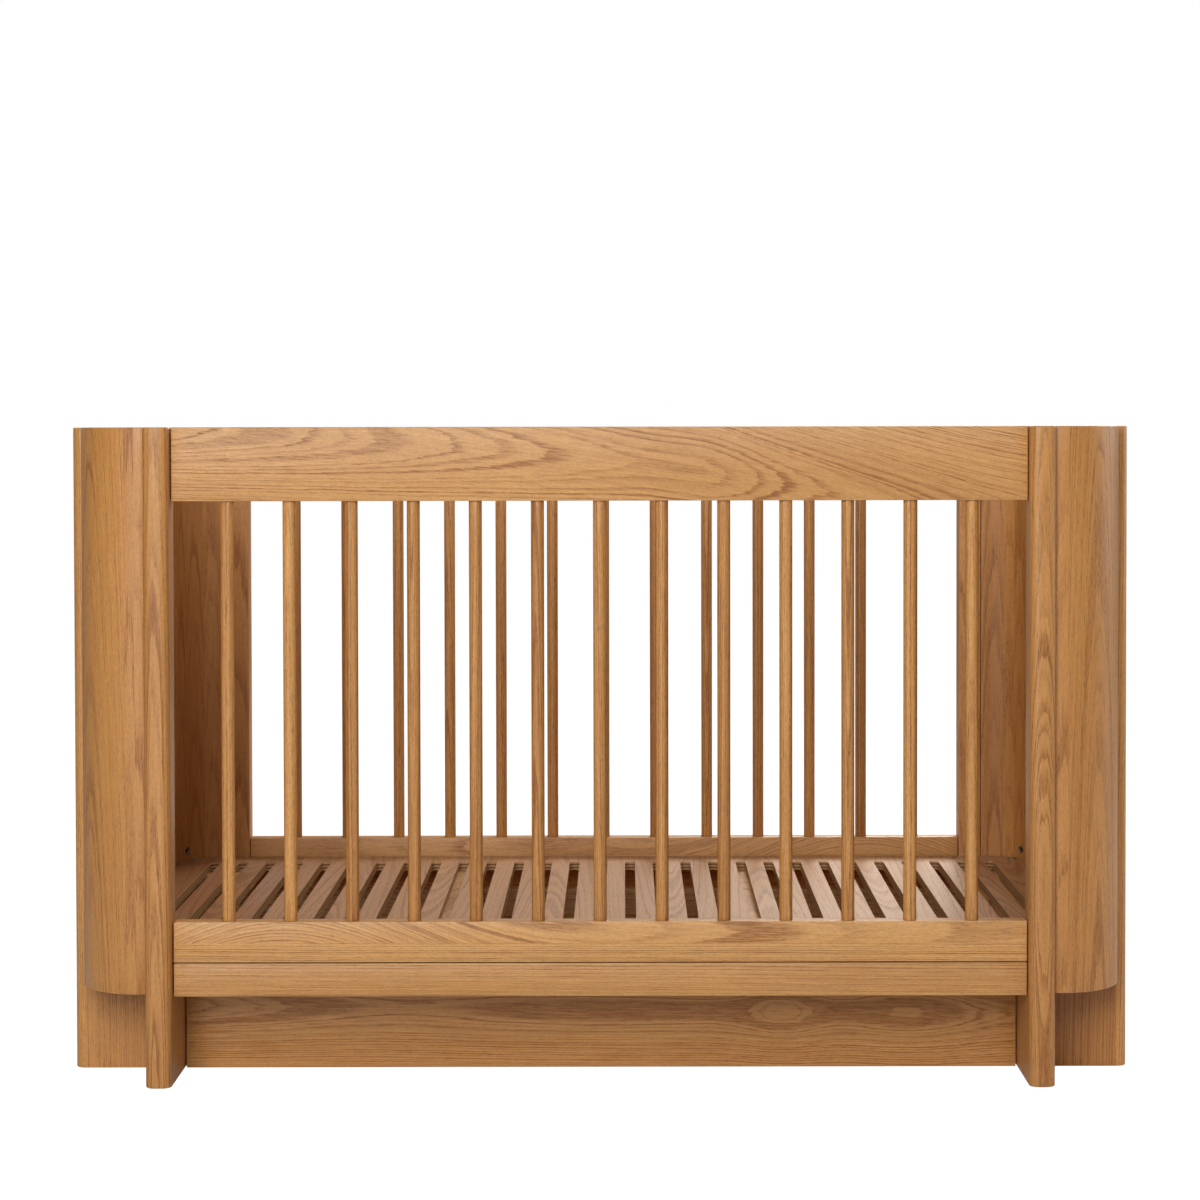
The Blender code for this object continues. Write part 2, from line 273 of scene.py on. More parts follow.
def buildOakGrain():
    group, given, result = newGroup("oakGrain", (
        ("Place", "Vector", None), ("Tone", "Float", 0.0), ("Ring Width", "Float", 0.003),
        ("Ring Contrast", "Float", 0.5), ("Wander", "Float", 0.006), ("Cloud", "Float", 0.5),
        ("Fibre", "Float", 0.5), ("Pores", "Float", 0.6), ("Pale", "Color", (0.6, 0.4, 0.2, 1)),
        ("Deep", "Color", (0.4, 0.2, 0.1, 1)), ("Pore", "Color", (0.2, 0.1, 0.05, 1)),
    ), (("Color", "Color"), ("Roughness", "Float"), ("Height", "Float")))
    place = given["Place"]
    across = addNode(group, "ShaderNodeVectorMath", {"operation": "LENGTH"},
                     {0: stretch(group, place, (0, 1, 1))}).outputs["Value"]
    # every noise below is stretched along the trunk, the first of its three numbers
    drift = calc(group, "SUBTRACT", noise(group, stretch(group, place, (1.7, 11, 11)), 1.0), 0.5)
    ripple = calc(group, "SUBTRACT", noise(group, stretch(group, place, (11, 210, 210)), 2.0), 0.5)
    radius = calc(group, "MULTIPLY_ADD", drift, given["Wander"])
    group.links.new(across, radius.node.inputs[2])
    wavy = calc(group, "MULTIPLY_ADD", ripple, 0.0017)
    group.links.new(radius, wavy.node.inputs[2])
    count = calc(group, "DIVIDE", wavy, given["Ring Width"])
    uneven = calc(group, "MULTIPLY_ADD", noiseLine(group, calc(group, "MULTIPLY", count, 0.6)), 1.6)
    group.links.new(count, uneven.node.inputs[2])
    turn = calc(group, "FRACT", uneven)  # 0 to 1 across each year's ring
    year = addNode(group, "ShaderNodeTexWhiteNoise", {"noise_dimensions": "1D"},
                   {"W": calc(group, "FLOOR", uneven)}).outputs["Value"]
    band = calc(group, "MULTIPLY", ramp(group, turn, 0.0, 0.10), ramp(group, turn, 0.10, 0.62, 1.0, 0.0))
    band = calc(group, "MULTIPLY", band, ramp(group, year, 0.0, 1.0, 0.35, 1.0))
    streak = noise(group, stretch(group, place, (26, 620, 620)), 1.0)
    band = calc(group, "MULTIPLY", band, ramp(group, streak, 0.30, 0.66, 0.55, 1.25))
    longPore = ramp(group, noise(group, stretch(group, place, (85, 680, 680)), 1.0), 0.54, 0.66)
    finePore = ramp(group, noise(group, stretch(group, place, (210, 1900, 1900))), 0.54, 0.68)
    longPore = calc(group, "MULTIPLY", longPore, ramp(group, band, 0.0, 0.7, 0.35, 1.0))
    pores = calc(group, "MAXIMUM", longPore, calc(group, "MULTIPLY", finePore, 0.55))
    fibre = calc(group, "SUBTRACT", noise(group, stretch(group, place, (13, 380, 380)), 2.0, 0.65), 0.5)
    cloud = calc(group, "SUBTRACT", noise(group, stretch(group, place, (1.9, 13, 13)), 1.0), 0.5)
    shade = calc(group, "MULTIPLY", band, given["Ring Contrast"])
    for part, amount in ((fibre, given["Fibre"]), (cloud, given["Cloud"])):
        step = calc(group, "MULTIPLY_ADD", part, amount)
        group.links.new(shade, step.node.inputs[2])
        shade = step
    shade = calc(group, "ADD", calc(group, "ADD", shade, given["Tone"]), 0.3, clamp=True)
    colour = blendColours(group, shade, given["Pale"], given["Deep"])
    poreShare = calc(group, "MULTIPLY", pores, given["Pores"])
    colour = blendColours(group, poreShare, colour, given["Pore"])
    group.links.new(colour, result["Color"])
    group.links.new(calc(group, "MULTIPLY_ADD", pores, 0.16), result["Roughness"])
    result["Roughness"].links[0].from_node.inputs[2].default_value = 0.40
    height = calc(group, "SUBTRACT", calc(group, "MULTIPLY", fibre, 0.5), pores)
    group.links.new(height, result["Height"])
    return group


def buildSandedEdge():
    group, given, result = newGroup("sandedEdge", (
        ("Color", "Color", None), ("Place", "Vector", None), ("Wear", "Float", 0.0), ("Lift", "Float", 0.08),
    ), (("Color", "Color"),))
    patches = noise(group, stretch(group, given["Place"], (30, 120, 120)), 1.0)
    patchy = ramp(group, patches, 0.35, 0.65, 0.4, 1.0)
    share = calc(group, "MULTIPLY", calc(group, "MULTIPLY", patchy, given["Wear"]), given["Lift"])
    pale = blendColours(group, share, given["Color"], (0.86, 0.68, 0.47, 1))
    group.links.new(pale, result["Color"])
    return group


oakGrain = buildOakGrain()
sandedEdge = buildSandedEdge()
edgeLift = 0.08  # how far sanded edges go towards bare wood
oakTones = {
    "pale": (0.690, 0.345, 0.104, 1),
    "deep": (0.340, 0.126, 0.026, 1),
    "pore": (0.170, 0.058, 0.015, 1),
}


def readAttribute(tree, name, output):
    return addNode(tree, "ShaderNodeAttribute", {"attribute_name": name}, {}).outputs[output]


def makeOak(name, settings):
    material = bpy.data.materials.new(name)
    material.use_nodes = True
    tree = material.node_tree
    shader = tree.nodes["Principled BSDF"]
    place = readAttribute(tree, "woodPlace", "Vector")
    grain = addNode(tree, "ShaderNodeGroup", {"node_tree": oakGrain}, {
        "Place": place, "Tone": readAttribute(tree, "woodTone", "Fac"),
        "Ring Width": readAttribute(tree, "ringWidth", "Fac"), "Ring Contrast": settings["rings"],
        "Wander": settings["wander"], "Cloud": settings["cloud"], "Fibre": settings["fibre"],
        "Pores": settings["pores"], "Pale": settings.get("pale", oakTones["pale"]),
        "Deep": settings.get("deep", oakTones["deep"]), "Pore": settings.get("pore", oakTones["pore"]),
    })
    edge = addNode(tree, "ShaderNodeGroup", {"node_tree": sandedEdge}, {
        "Color": grain.outputs["Color"], "Place": place,
        "Wear": readAttribute(tree, "edgeWear", "Fac"), "Lift": edgeLift,
    })
    tree.links.new(edge.outputs["Color"], shader.inputs["Base Color"])
    tree.links.new(grain.outputs["Roughness"], shader.inputs["Roughness"])
    bump = addNode(tree, "ShaderNodeBump", {}, {"Strength": settings.get("bump", 0.25), "Distance": 0.0004,
                                               "Height": grain.outputs["Height"]})
    tree.links.new(bump.outputs["Normal"], shader.inputs["Normal"])
    shader.inputs["IOR"].default_value = 1.5
    return material


railOak = makeOak("railOak", {"rings": 0.62, "wander": 0.006, "cloud": 0.40, "fibre": 0.60, "pores": 0.46,
                              "pale": (0.76, 0.420, 0.146, 1)})
plankOak = makeOak("plankOak", {"rings": 0.60, "wander": 0.005, "cloud": 0.40, "fibre": 0.65, "pores": 0.50})
staveOak = makeOak("staveOak", {"rings": 0.52, "wander": 0.005, "cloud": 0.45, "fibre": 0.65, "pores": 0.50,
                                "pale": (0.67, 0.325, 0.095, 1)})
spindleOak = makeOak("spindleOak", {"rings": 0.70, "wander": 0.004, "cloud": 0.60, "fibre": 0.80,
                                    "pores": 0.60})
print("oak materials ready")


def makePly():
    material = makeOak("slottedPly", {
        "rings": 0.60, "wander": 0.012, "cloud": 0.35, "fibre": 0.50, "pores": 0.35, "bump": 0.15,
        "pale": (0.62, 0.335, 0.155, 1), "deep": (0.32, 0.145, 0.055, 1), "pore": (0.17, 0.07, 0.025, 1)})
    tree = material.node_tree
    shader = tree.nodes["Principled BSDF"]
    where = addNode(tree, "ShaderNodeTexCoord", {}, {}).outputs["Object"]
    height = addNode(tree, "ShaderNodeSeparateXYZ", {}, {0: where}).outputs["Z"]
    layers = 5
    layerThickness = (baseHigh.z - baseLow.z) / layers
    level = calc(tree, "DIVIDE", calc(tree, "SUBTRACT", height, baseLow.z), layerThickness)
    turn = calc(tree, "FRACT", calc(tree, "MULTIPLY", level, 0.5))
    crossed = calc(tree, "MULTIPLY", ramp(tree, turn, 0.46, 0.52), ramp(tree, turn, 0.94, 1.0, 1.0, 0.0))
    speck = noise(tree, stretch(tree, where, (420, 420, 1500)), 2.0)
    layerColour = blendColours(tree, crossed, (0.60, 0.37, 0.17, 1), (0.22, 0.105, 0.042, 1))
    layerColour = blendColours(tree, ramp(tree, speck, 0.45, 0.8, 0.0, 0.5), layerColour, (0.2, 0.1, 0.05, 1))
    faceColour = shader.inputs["Base Color"].links[0].from_socket
    mixed = blendColours(tree, readAttribute(tree, "cutFace", "Fac"), faceColour, layerColour)
    tree.links.new(mixed, shader.inputs["Base Color"])
    return material


def makeSteel():
    material = bpy.data.materials.new("zincSteel")
    material.use_nodes = True
    tree = material.node_tree
    shader = tree.nodes["Principled BSDF"]
    where = addNode(tree, "ShaderNodeTexCoord", {}, {}).outputs["Object"]
    spangle = noise(tree, stretch(tree, where, (500, 500, 500)), 2.0)
    brushed = noise(tree, stretch(tree, where, (300, 300, 4000)), 1.0)
    tint = blendColours(tree, ramp(tree, spangle, 0.3, 0.7), (0.30, 0.28, 0.25, 1), (0.46, 0.43, 0.39, 1))
    tree.links.new(tint, shader.inputs["Base Color"])
    tree.links.new(ramp(tree, brushed, 0.2, 0.8, 0.26, 0.42), shader.inputs["Roughness"])
    bump = addNode(tree, "ShaderNodeBump", {}, {"Strength": 0.15, "Distance": 0.0002, "Height": brushed})
    tree.links.new(bump.outputs["Normal"], shader.inputs["Normal"])
    shader.inputs["Metallic"].default_value = 1.0
    return material


slottedPly = makePly()
zincSteel = makeSteel()

axes = {"x": Vector((1, 0, 0)), "y": Vector((0, 1, 0)), "z": Vector((0, 0, 1))}
plainLog = {  # how a board lay in its log, the log's ring width, and its tone from pale to deep
    "along": "x", "across": "z", "depth": "y", "pith": 0.12, "taper": 0.03, "tilt": 0.0, "offset": 0.0,
    "sways": (), "swells": (), "shift": 0.0, "rings": 0.003, "tone": 0.0,
}


def logPoint(point, log):  # where a point of the board lay: along the trunk, then out from the pith
    along = point.dot(log["alongAxis"])
    across = point.dot(log["acrossAxis"]) - log["offset"] + log["tilt"] * along
    depth = point.dot(log["depthAxis"]) + log["pith"] + log["taper"] * along
    for middle, reach, rise in log["sways"]:
        across += rise * exp(-((along - middle) / reach) ** 2)
    for middle, reach, rise in log["swells"]:
        depth += rise * exp(-((along - middle) / reach) ** 2)
    return Vector((along + log["shift"], across, depth))


def layGrain(piece, chooseLog):  # chooseLog gives the log that the face at this place was sawn from
    mesh = piece.data
    places, tones, rings = [], [], []
    for face in mesh.polygons:
        log = chooseLog(face.center)
        for corner in face.vertices:
            places.extend(logPoint(mesh.vertices[corner].co - log["origin"], log))
            tones.append(log["tone"])
            rings.append(log["rings"])
    for name, kind, part, values in (("woodPlace", "FLOAT_VECTOR", "vector", places),
                                     ("woodTone", "FLOAT", "value", tones),
                                     ("ringWidth", "FLOAT", "value", rings)):
        mesh.attributes.new(name, kind, "CORNER").data.foreach_set(part, values)
    if "edgeWear" not in mesh.attributes:
        mesh.attributes.new("edgeWear", "FLOAT", "FACE")


def makeLog(origin=(0, 0, 0), **changes):
    log = dict(plainLog, **changes)
    for name in ("along", "across", "depth"):
        direction = log[name]
        log[name + "Axis"] = axes[direction] if isinstance(direction, str) else Vector(direction)
    log["origin"] = Vector(origin)
    return log


plank = {"seam": 0.0005, "sections": 24, "noseRadius": 0.012, "noseSteps": 8, "ease": 0.0018,
         "easeSteps": 3}
legLogs = {
    "front_left": {"pith": 0.030, "taper": 0.016, "offset": -0.004, "rings": 0.0022, "tone": 0.05,
                   "shift": 1.1},
    "front_right": {"pith": 0.034, "taper": 0.020, "offset": 0.002, "rings": 0.0024, "tone": 0.06,
                    "shift": 4.3, "swells": ((0.30, 0.22, -0.012),)},
    "rear_left": {"pith": 0.05, "taper": 0.02, "tone": 0.05, "shift": 7.7},
    "rear_right": {"pith": 0.06, "taper": -0.02, "tone": -0.28, "shift": 9.4},
}
finLogs = {
    "front_left": {"pith": 0.09, "taper": 0.01, "tone": 0.02, "shift": 12.2},
    # front_right tone 0.36: darker, painted shade where the leg and shell shade this fin
    "front_right": {"pith": 0.12, "taper": 0.02, "tone": 0.36, "rings": 0.0042, "shift": 14.6},
    "rear_left": {"pith": 0.05, "taper": 0.015, "tone": 0.08, "shift": 17.1},
    "rear_right": {"pith": 0.07, "taper": -0.015, "tone": 0.04, "shift": 19.9},
}
finLitEdge = {"width": 0.0145, "tone": -0.12}  # a paler strip along the outer edge: painted highlight where the rounded edge catches the light


def buildLegs():
    nose = legLow.y
    seam = plank["seam"]
    leg = addBlock("legModel", (legLow.x + seam, nose, 0), (legHigh.x - seam, -innerWidth, legHigh.z))
    cutAcross(leg, (0, 0, shoulder), (0, 0, 1))
    reach = legHigh.y + innerWidth
    extrudeFaces(leg, lambda c, n: n.y > 0.9 and c.z < shoulder, (0, reach, 0))
    divideAlong(leg, 2, plank["sections"])
    bevelEdges(leg, plank["noseRadius"], plank["noseSteps"],
               lambda a, b: runsAlong(2, a, b) and abs(a.y - nose) < 1e-5)
    easeEdges(leg, plank["ease"], plank["easeSteps"])
    for side, sy in sides:
        for end, sx in ends:
            copy = copyPiece(leg, f"leg{side.title()}{end.title()}", flipX=sx < 0, flipY=sy > 0)
            origin = (sx * (legLow.x + legHigh.x) / 2, sy * -nose, 0)
            log = makeLog(origin, along="z", across="x", depth=(0, -sy, 0), **legLogs[f"{side}_{end}"])
            layGrain(copy, lambda c: log)
            finishPiece(copy, plankOak, "frame", [f"leg_{side}_{end}"])
    bpy.data.objects.remove(leg)


def buildFins():
    nose = finHigh.x
    fin = addBlock("finModel", (innerLength, finLow.y, 0), (nose, finHigh.y, finHigh.z))
    cutAcross(fin, (0, 0, shoulder), (0, 0, 1))
    reach = innerLength - finLow.x
    extrudeFaces(fin, lambda c, n: n.x < -0.9 and c.z < shoulder, (-reach, 0, 0))
    cutAcross(fin, (nose - finLitEdge["width"], 0, 0), (1, 0, 0))
    divideAlong(fin, 2, plank["sections"])
    bevelEdges(fin, plank["noseRadius"], plank["noseSteps"],
               lambda a, b: runsAlong(2, a, b) and abs(a.x - nose) < 1e-5)
    easeEdges(fin, plank["ease"], plank["easeSteps"])
    for side, sy in sides:
        for end, sx in ends:
            copy = copyPiece(fin, f"fin{side.title()}{end.title()}", flipX=sx < 0, flipY=sy > 0)
            origin = (sx * nose, sy * -(finLow.y + finHigh.y) / 2, 0)
            log = makeLog(origin, along="z", across="y", depth=(-sx, 0, 0), **finLogs[f"{side}_{end}"])
            # the outer edge takes a paler tone: painted highlight on the rounded edge
            strip = dict(log, tone=finLitEdge["tone"], shift=log["shift"] + 0.5)
            layGrain(copy, lambda c: strip if abs(c.x) > nose - finLitEdge["width"] else log)
            finishPiece(copy, plankOak, "frame", [f"side_plank_{side}_{end}"])
    bpy.data.objects.remove(fin)


buildLegs()
buildFins()
print("planks ready")

shell = {"steps": 30, "sections": 16, "ease": 0.0014, "centreX": 0.603}
insert = {"turn": 30, "height": 0.1995, "steps": 28, "hole": (0.0075, 0.0063, 0.0155),
          "body": (0.0073, 0.0060, 0.0134), "rim": (0.0009, 0.0008), "bore": (0.0018, 0.0095),
          "ease": 0.0003}  # hole and body: depth of the middle, radius, length; rim and bore: in, then down
cornerRadius = halfLength - shell["centreX"]
shellStaves = {  # where each stave starts round the corner, in degrees from the end wall, and its log
    "front_left": (
        (-90, {"pith": 0.16, "taper": 0.03, "tone": 0.02, "rings": 0.0030, "shift": 21.0}),
        (78, {"pith": 0.10, "taper": 0.01, "tone": 0.08, "rings": 0.0030, "shift": 23.0}),
        (87, {"pith": 0.10, "taper": 0.02, "tone": 0.05, "shift": 25.0}),
    ),
    "front_right": (
        (-90, {"pith": 0.05, "taper": 0.030, "offset": -0.03, "tone": 0.10, "rings": 0.0032, "shift": 27.0}),
        (84, {"pith": 0.10, "taper": 0.02, "tone": 0.06, "shift": 29.0}),
    ),
    "rear_left": (
        (-90, {"pith": 0.12, "taper": 0.02, "tone": 0.27, "shift": 31.0}),
        (30, {"pith": 0.15, "taper": 0.02, "tone": 0.36, "shift": 33.0}),
        (63, {"pith": 0.08, "taper": 0.02, "tone": 0.16, "shift": 35.0}),
    ),
    "rear_right": (
        (-90, {"pith": 0.07, "taper": 0.02, "tone": 0.16, "shift": 37.0}),
        (21, {"pith": 0.08, "taper": 0.02, "tone": 0.12, "shift": 39.0}),
        (45, {"pith": 0.10, "taper": 0.02, "tone": -0.10, "shift": 41.0}),
        (63, {"pith": 0.06, "taper": 0.02, "tone": 0.04, "shift": 43.0}),
    ),
}


def buildShells():
    centre = Vector((halfLength - cornerRadius, -(halfWidth - cornerRadius), 0))
    low, high = (shellLow.x, -halfWidth, shellLow.z), (centre.x, -innerWidth, shellHigh.z)
    model = addBlock("shellModel", low, high)
    divideAlong(model, 2, shell["sections"])
    pick(model, "FACE", lambda c, n: n.x > 0.9)
    bpy.ops.mesh.spin(steps=shell["steps"], angle=radians(-90), center=centre, axis=(0, 0, 1))
    closeEdit()
    extrudeFaces(model, lambda c, n: abs(c.y - centre.y) < 1e-4 and abs(n.y) > 0.9 and c.x > centre.x,
                 (0, shellHigh.y - centre.y, 0))
    cleanUp(model)
    easeEdges(model, shell["ease"], 2)
    turn = radians(insert["turn"])
    outward = Vector((cos(turn), -sin(turn), 0))
    mouth = centre + outward * (cornerRadius - wall) + Vector((0, 0, insert["height"]))
    seat = Matrix.Translation(mouth) @ outward.to_track_quat("Z", "Y").to_matrix().to_4x4()
    rise, radius, depth = insert["hole"]
    hole = addRound("hole", (0, 0, rise), radius, depth, insert["steps"])
    hole.matrix_world = seat
    applyPlace(hole)
    drill(model, [hole])
    metalModel = buildInsert(seat)
    for side, sy in sides:
        for end, sx in ends:
            copy = copyPiece(model, f"shell{side.title()}{end.title()}", flipX=sx < 0, flipY=sy > 0)
            staves = shellStaves[f"{side}_{end}"]
            middle = Vector((sx * centre.x, sy * -centre.y, 0))
            logs = []
            for number, (start, settings) in enumerate(staves):
                stop = staves[number + 1][0] if number + 1 < len(staves) else 90
                bearing = radians((max(start, 0) + stop) / 2)
                outer = Vector((sx * cos(bearing), sy * sin(bearing), 0))
                logs.append((start, makeLog(middle + outer * cornerRadius, along="z", depth=-outer,
                                            across=(-outer.y, outer.x, 0), **settings)))
            finishShell(copy, logs, middle, (sx, sy))
            finishPiece(copy, staveOak, "frame", [f"corner_{side}_{end}"])
            metal = copyPiece(metalModel, f"insert{side.title()}{end.title()}", flipX=sx < 0, flipY=sy > 0)
            finishPiece(metal, zincSteel, "frame", [f"insert_{side}_{end}"])
    bpy.data.objects.remove(model)
    bpy.data.objects.remove(metalModel)


def buildInsert(seat):
    rise, radius, length = insert["body"]
    model = addRound("insertModel", (0, 0, rise), radius, length, insert["steps"])
    pick(model, "FACE", lambda c, n: n.z < -0.9)
    for inward, down in (insert["rim"], insert["bore"]):
        bpy.ops.mesh.inset(thickness=inward)
        bpy.ops.mesh.extrude_region_move(TRANSFORM_OT_translate={"value": (0, 0, down)})
    closeEdit()
    mouth = rise - length / 2 + 0.0001
    bevelEdges(model, insert["ease"], 2, lambda a, b: a.z < mouth and b.z < mouth)
    model.matrix_world = seat
    applyPlace(model)
    return model


def finishShell(copy, logs, middle, signs):
    def chooseLog(place):
        offset = place - middle
        x, y = max(offset.x * signs[0], 0), offset.y * signs[1]
        bearing = 90 if x == 0 else (-90 if y < 0 else Vector((x, y)).angle_signed(Vector((1, 0))) * 180 / pi)
        return [log for start, log in logs if bearing >= start][-1]
    layGrain(copy, chooseLog)


buildShells()
print("corner shells ready")

panel = {"ease": 0.0015, "staves": (0.062, 0.048, 0.071, 0.055, 0.066, 0.050, 0.074, 0.058)}


def buildEndPanels():
    for number, (end, sx) in enumerate(ends):
        low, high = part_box(f"end_panel_{end}")
        piece = addBlock(f"endPanel{end.title()}", low, high)
        scale = (high.y - low.y) / sum(panel["staves"])
        joints, y = [], low.y
        for width in panel["staves"]:
            joints.append((y, y + width * scale))
            y += width * scale
        for start, stop in joints[1:]:
            cutAcross(piece, (0, start, 0), (0, 1, 0))
        easeEdges(piece, panel["ease"], 2)
        logs = []
        for count, (start, stop) in enumerate(joints):
            turn = count * 5 + number * 3
            logs.append((stop, makeLog((sx * halfLength, (start + stop) / 2, 0), along="z", across="y",
                                       depth=(-sx, 0, 0), pith=0.05 + 0.02 * (turn % 4),
                                       taper=0.02 * (-1) ** count, offset=0.006 * (turn % 3 - 1),
                                       tone=0.06 * (turn % 5 - 1.5), shift=50 + 2.3 * turn)))
        layGrain(piece, lambda c: next(log for stop, log in logs if c.y < stop + 1e-5))
        finishPiece(piece, staveOak, "frame", [f"end_panel_{end}"])


buildEndPanels()
print("end panels ready")

rail = {"ease": 0.0013, "sections": 60, "joint": 0.187, "socketDepth": 0.012, "socketClearance": 0.0004,
        "socketSteps": 24}
spindle = {"count": 13, "steps": 32, "sections": 10, "chamfer": 0.0012,
           "tones": (-0.10, -0.16, 0.12, 0.16, 0.10, 0.18, 0.02, -0.04, 0.14, -0.08, 0.06, -0.20, -0.06)}
topRailLog = {"pith": 0.125, "taper": 0.038, "tilt": 0.084, "offset": 0.8225, "rings": 0.0025, "shift": 61.0,
              "tone": 0.07, "sways": ((0.62, 0.36, 0.055),), "swells": ((0.15, 0.07, -0.0035),)}
lowerStaves = (
    {"pith": 0.10, "taper": 0.006, "offset": 0.02, "rings": 0.0024, "shift": 63.0, "tone": -0.06},
    {"pith": 0.07, "taper": 0.034, "offset": 0.203, "rings": 0.0042, "shift": 65.0, "tone": -0.04,
     "sways": ((-0.42, 0.25, -0.13),)},
)


def spindleSpots(side):
    spots = []
    for number in range(1, spindle["count"] + 1):
        low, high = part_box(f"{side}_spindle_{number:02d}")
        spots.append(((low.x + high.x) / 2, (low.y + high.y) / 2))
    return spots


def buildBoard(name, low, high, sections, ease):
    piece = addBlock(name, low, high)
    divideAlong(piece, 0, sections)
    easeEdges(piece, ease, 2)
    return piece


def buildRails():
    for side, sy in sides:
        body = "front_side" if side == "front" else "frame"
        spots = spindleSpots(side)
        stickLow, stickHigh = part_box(f"{side}_spindle_01")
        radius = (stickHigh.x - stickLow.x) / 2
        top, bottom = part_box(f"{side}_top_rail"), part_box(f"{side}_bottom_rail")
        face = top[0].y if sy < 0 else top[1].y
        pieces = (("TopRail", top, top[0].z), ("BottomRail", bottom, bottom[1].z))
        for label, (low, high), mouth in pieces:
            piece = buildBoard(side + label, low, high, rail["sections"], rail["ease"])
            if label == "BottomRail":
                cutAcross(piece, (0, 0, rail["joint"]), (0, 0, 1))
            drill(piece, [addRound("socket", (x, y, mouth), radius + rail["socketClearance"],
                                   2 * rail["socketDepth"], rail["socketSteps"]) for x, y in spots])
            flip = 1 if side == "front" else -1
            if label == "TopRail":
                log = makeLog((0, face, 0), along=(flip, 0, 0), depth=(0, -sy, 0), **topRailLog)
                layGrain(piece, lambda c: log)
            else:
                logs = [makeLog((0, face, 0), along=(flip, 0, 0), depth=(0, -sy, 0), **stave)
                        for stave in lowerStaves]
                layGrain(piece, lambda c: logs[c.z > rail["joint"]])
            finishPiece(piece, railOak, body, [f"{side}_{'top' if 'Top' in label else 'bottom'}_rail"])


def buildSpindles():
    low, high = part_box("front_spindle_01")
    radius, height = (high.x - low.x) / 2, high.z - low.z
    model = addRound("spindleModel", (0, 0, (low.z + high.z) / 2), radius, height, spindle["steps"])
    divideAlong(model, 2, spindle["sections"])
    bevelEdges(model, spindle["chamfer"], 2, lambda a, b: abs(a.z - b.z) < 1e-6 and
               (a.z < low.z + 1e-5 or a.z > high.z - 1e-5))
    for side, sy in sides:
        body = "front_side" if side == "front" else "frame"
        for number, (x, y) in enumerate(spindleSpots(side), 1):
            piece = copyPiece(model, f"{side}Spindle{number:02d}", move=(x, y, 0))
            turn = (number * 7 + (3 if side == "rear" else 0)) % 11
            log = makeLog((x, y, 0), along="z", across=(cos(turn), sin(turn), 0),
                          depth=(-sin(turn), cos(turn), 0), pith=0.03 + 0.012 * (turn % 5),
                          taper=0.012 * (turn % 3 - 1), rings=0.0026,
                          tone=spindle["tones"][number - 1] * (1 if side == "front" else -1),
                          shift=80 + 1.7 * number + 40 * (side == "rear"))
            layGrain(piece, lambda c: log)
            finishPiece(piece, spindleOak, body, [f"{side}_spindle_{number:02d}"])
    bpy.data.objects.remove(model)


buildRails()
buildSpindles()
print("rails and spindles ready")

skirt = {"ease": 0.0013, "seam": 0.0014, "sections": 40, "board": 0.025, "ledgeWidth": 0.020,
         "ledgeBottom": 0.1465}
barrelNut = {"x": 0.518, "z": 0.116, "radius": 0.0051, "length": 0.0098, "sunk": 0.005, "steps": 28,
             "holeDepth": 0.012, "holeSteps": 24, "ease": 0.0005, "slot": (0.01, 0.0006, 0.0012)}
apronLog = {"pith": 0.10, "taper": 0.010, "rings": 0.0026, "shift": 71.0, "tone": 0.06}
# plinth tone: darker, partly the board's own tone and partly painted shade from the apron above
plinthLog = {"pith": 0.055, "taper": 0.010, "offset": 0.077, "tilt": 0.012, "rings": 0.0024, "shift": 73.0,
             "tone": 0.24, "swells": ((0.245, 0.055, -0.006), (0.42, 0.09, -0.006), (-0.30, 0.2, 0.006))}


def buildSkirts():
    for side, sy in sides:
        low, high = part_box(f"{side}_apron")
        face = sy * max(abs(low.y), abs(high.y))
        inner = face - sy * skirt["board"]
        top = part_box(f"{side}_bottom_rail")[0].z - skirt["seam"]
        corners = sorted((face, inner))
        apron = buildBoard(f"{side}Apron", (low.x, corners[0], low.z), (high.x, corners[1], top),
                           skirt["sections"], skirt["ease"])
        log = makeLog((0, face, 0), depth=(0, -sy, 0), **apronLog)
        layGrain(apron, lambda c: log)
        finishPiece(apron, railOak, "frame", [f"{side}_apron"])
        corners = sorted((inner - sy * gap, inner - sy * skirt["ledgeWidth"]))
        ledge = buildBoard(f"{side}Ledge", (low.x, corners[0], skirt["ledgeBottom"]),
                           (high.x, corners[1], high.z), skirt["sections"], skirt["ease"])
        ledgeLog = makeLog((0, inner, 0), depth=(0, -sy, 0), pith=0.09, tone=0.5, shift=75.0 + sy)
        layGrain(ledge, lambda c: ledgeLog)
        finishPiece(ledge, railOak, "frame", [f"{side}_apron"])
        buildPlinth(side, sy)


def nutSeat(sx, y, turn):
    return Matrix.Translation((sx * barrelNut["x"], y, barrelNut["z"])) @ Matrix.Rotation(turn, 4, "X")


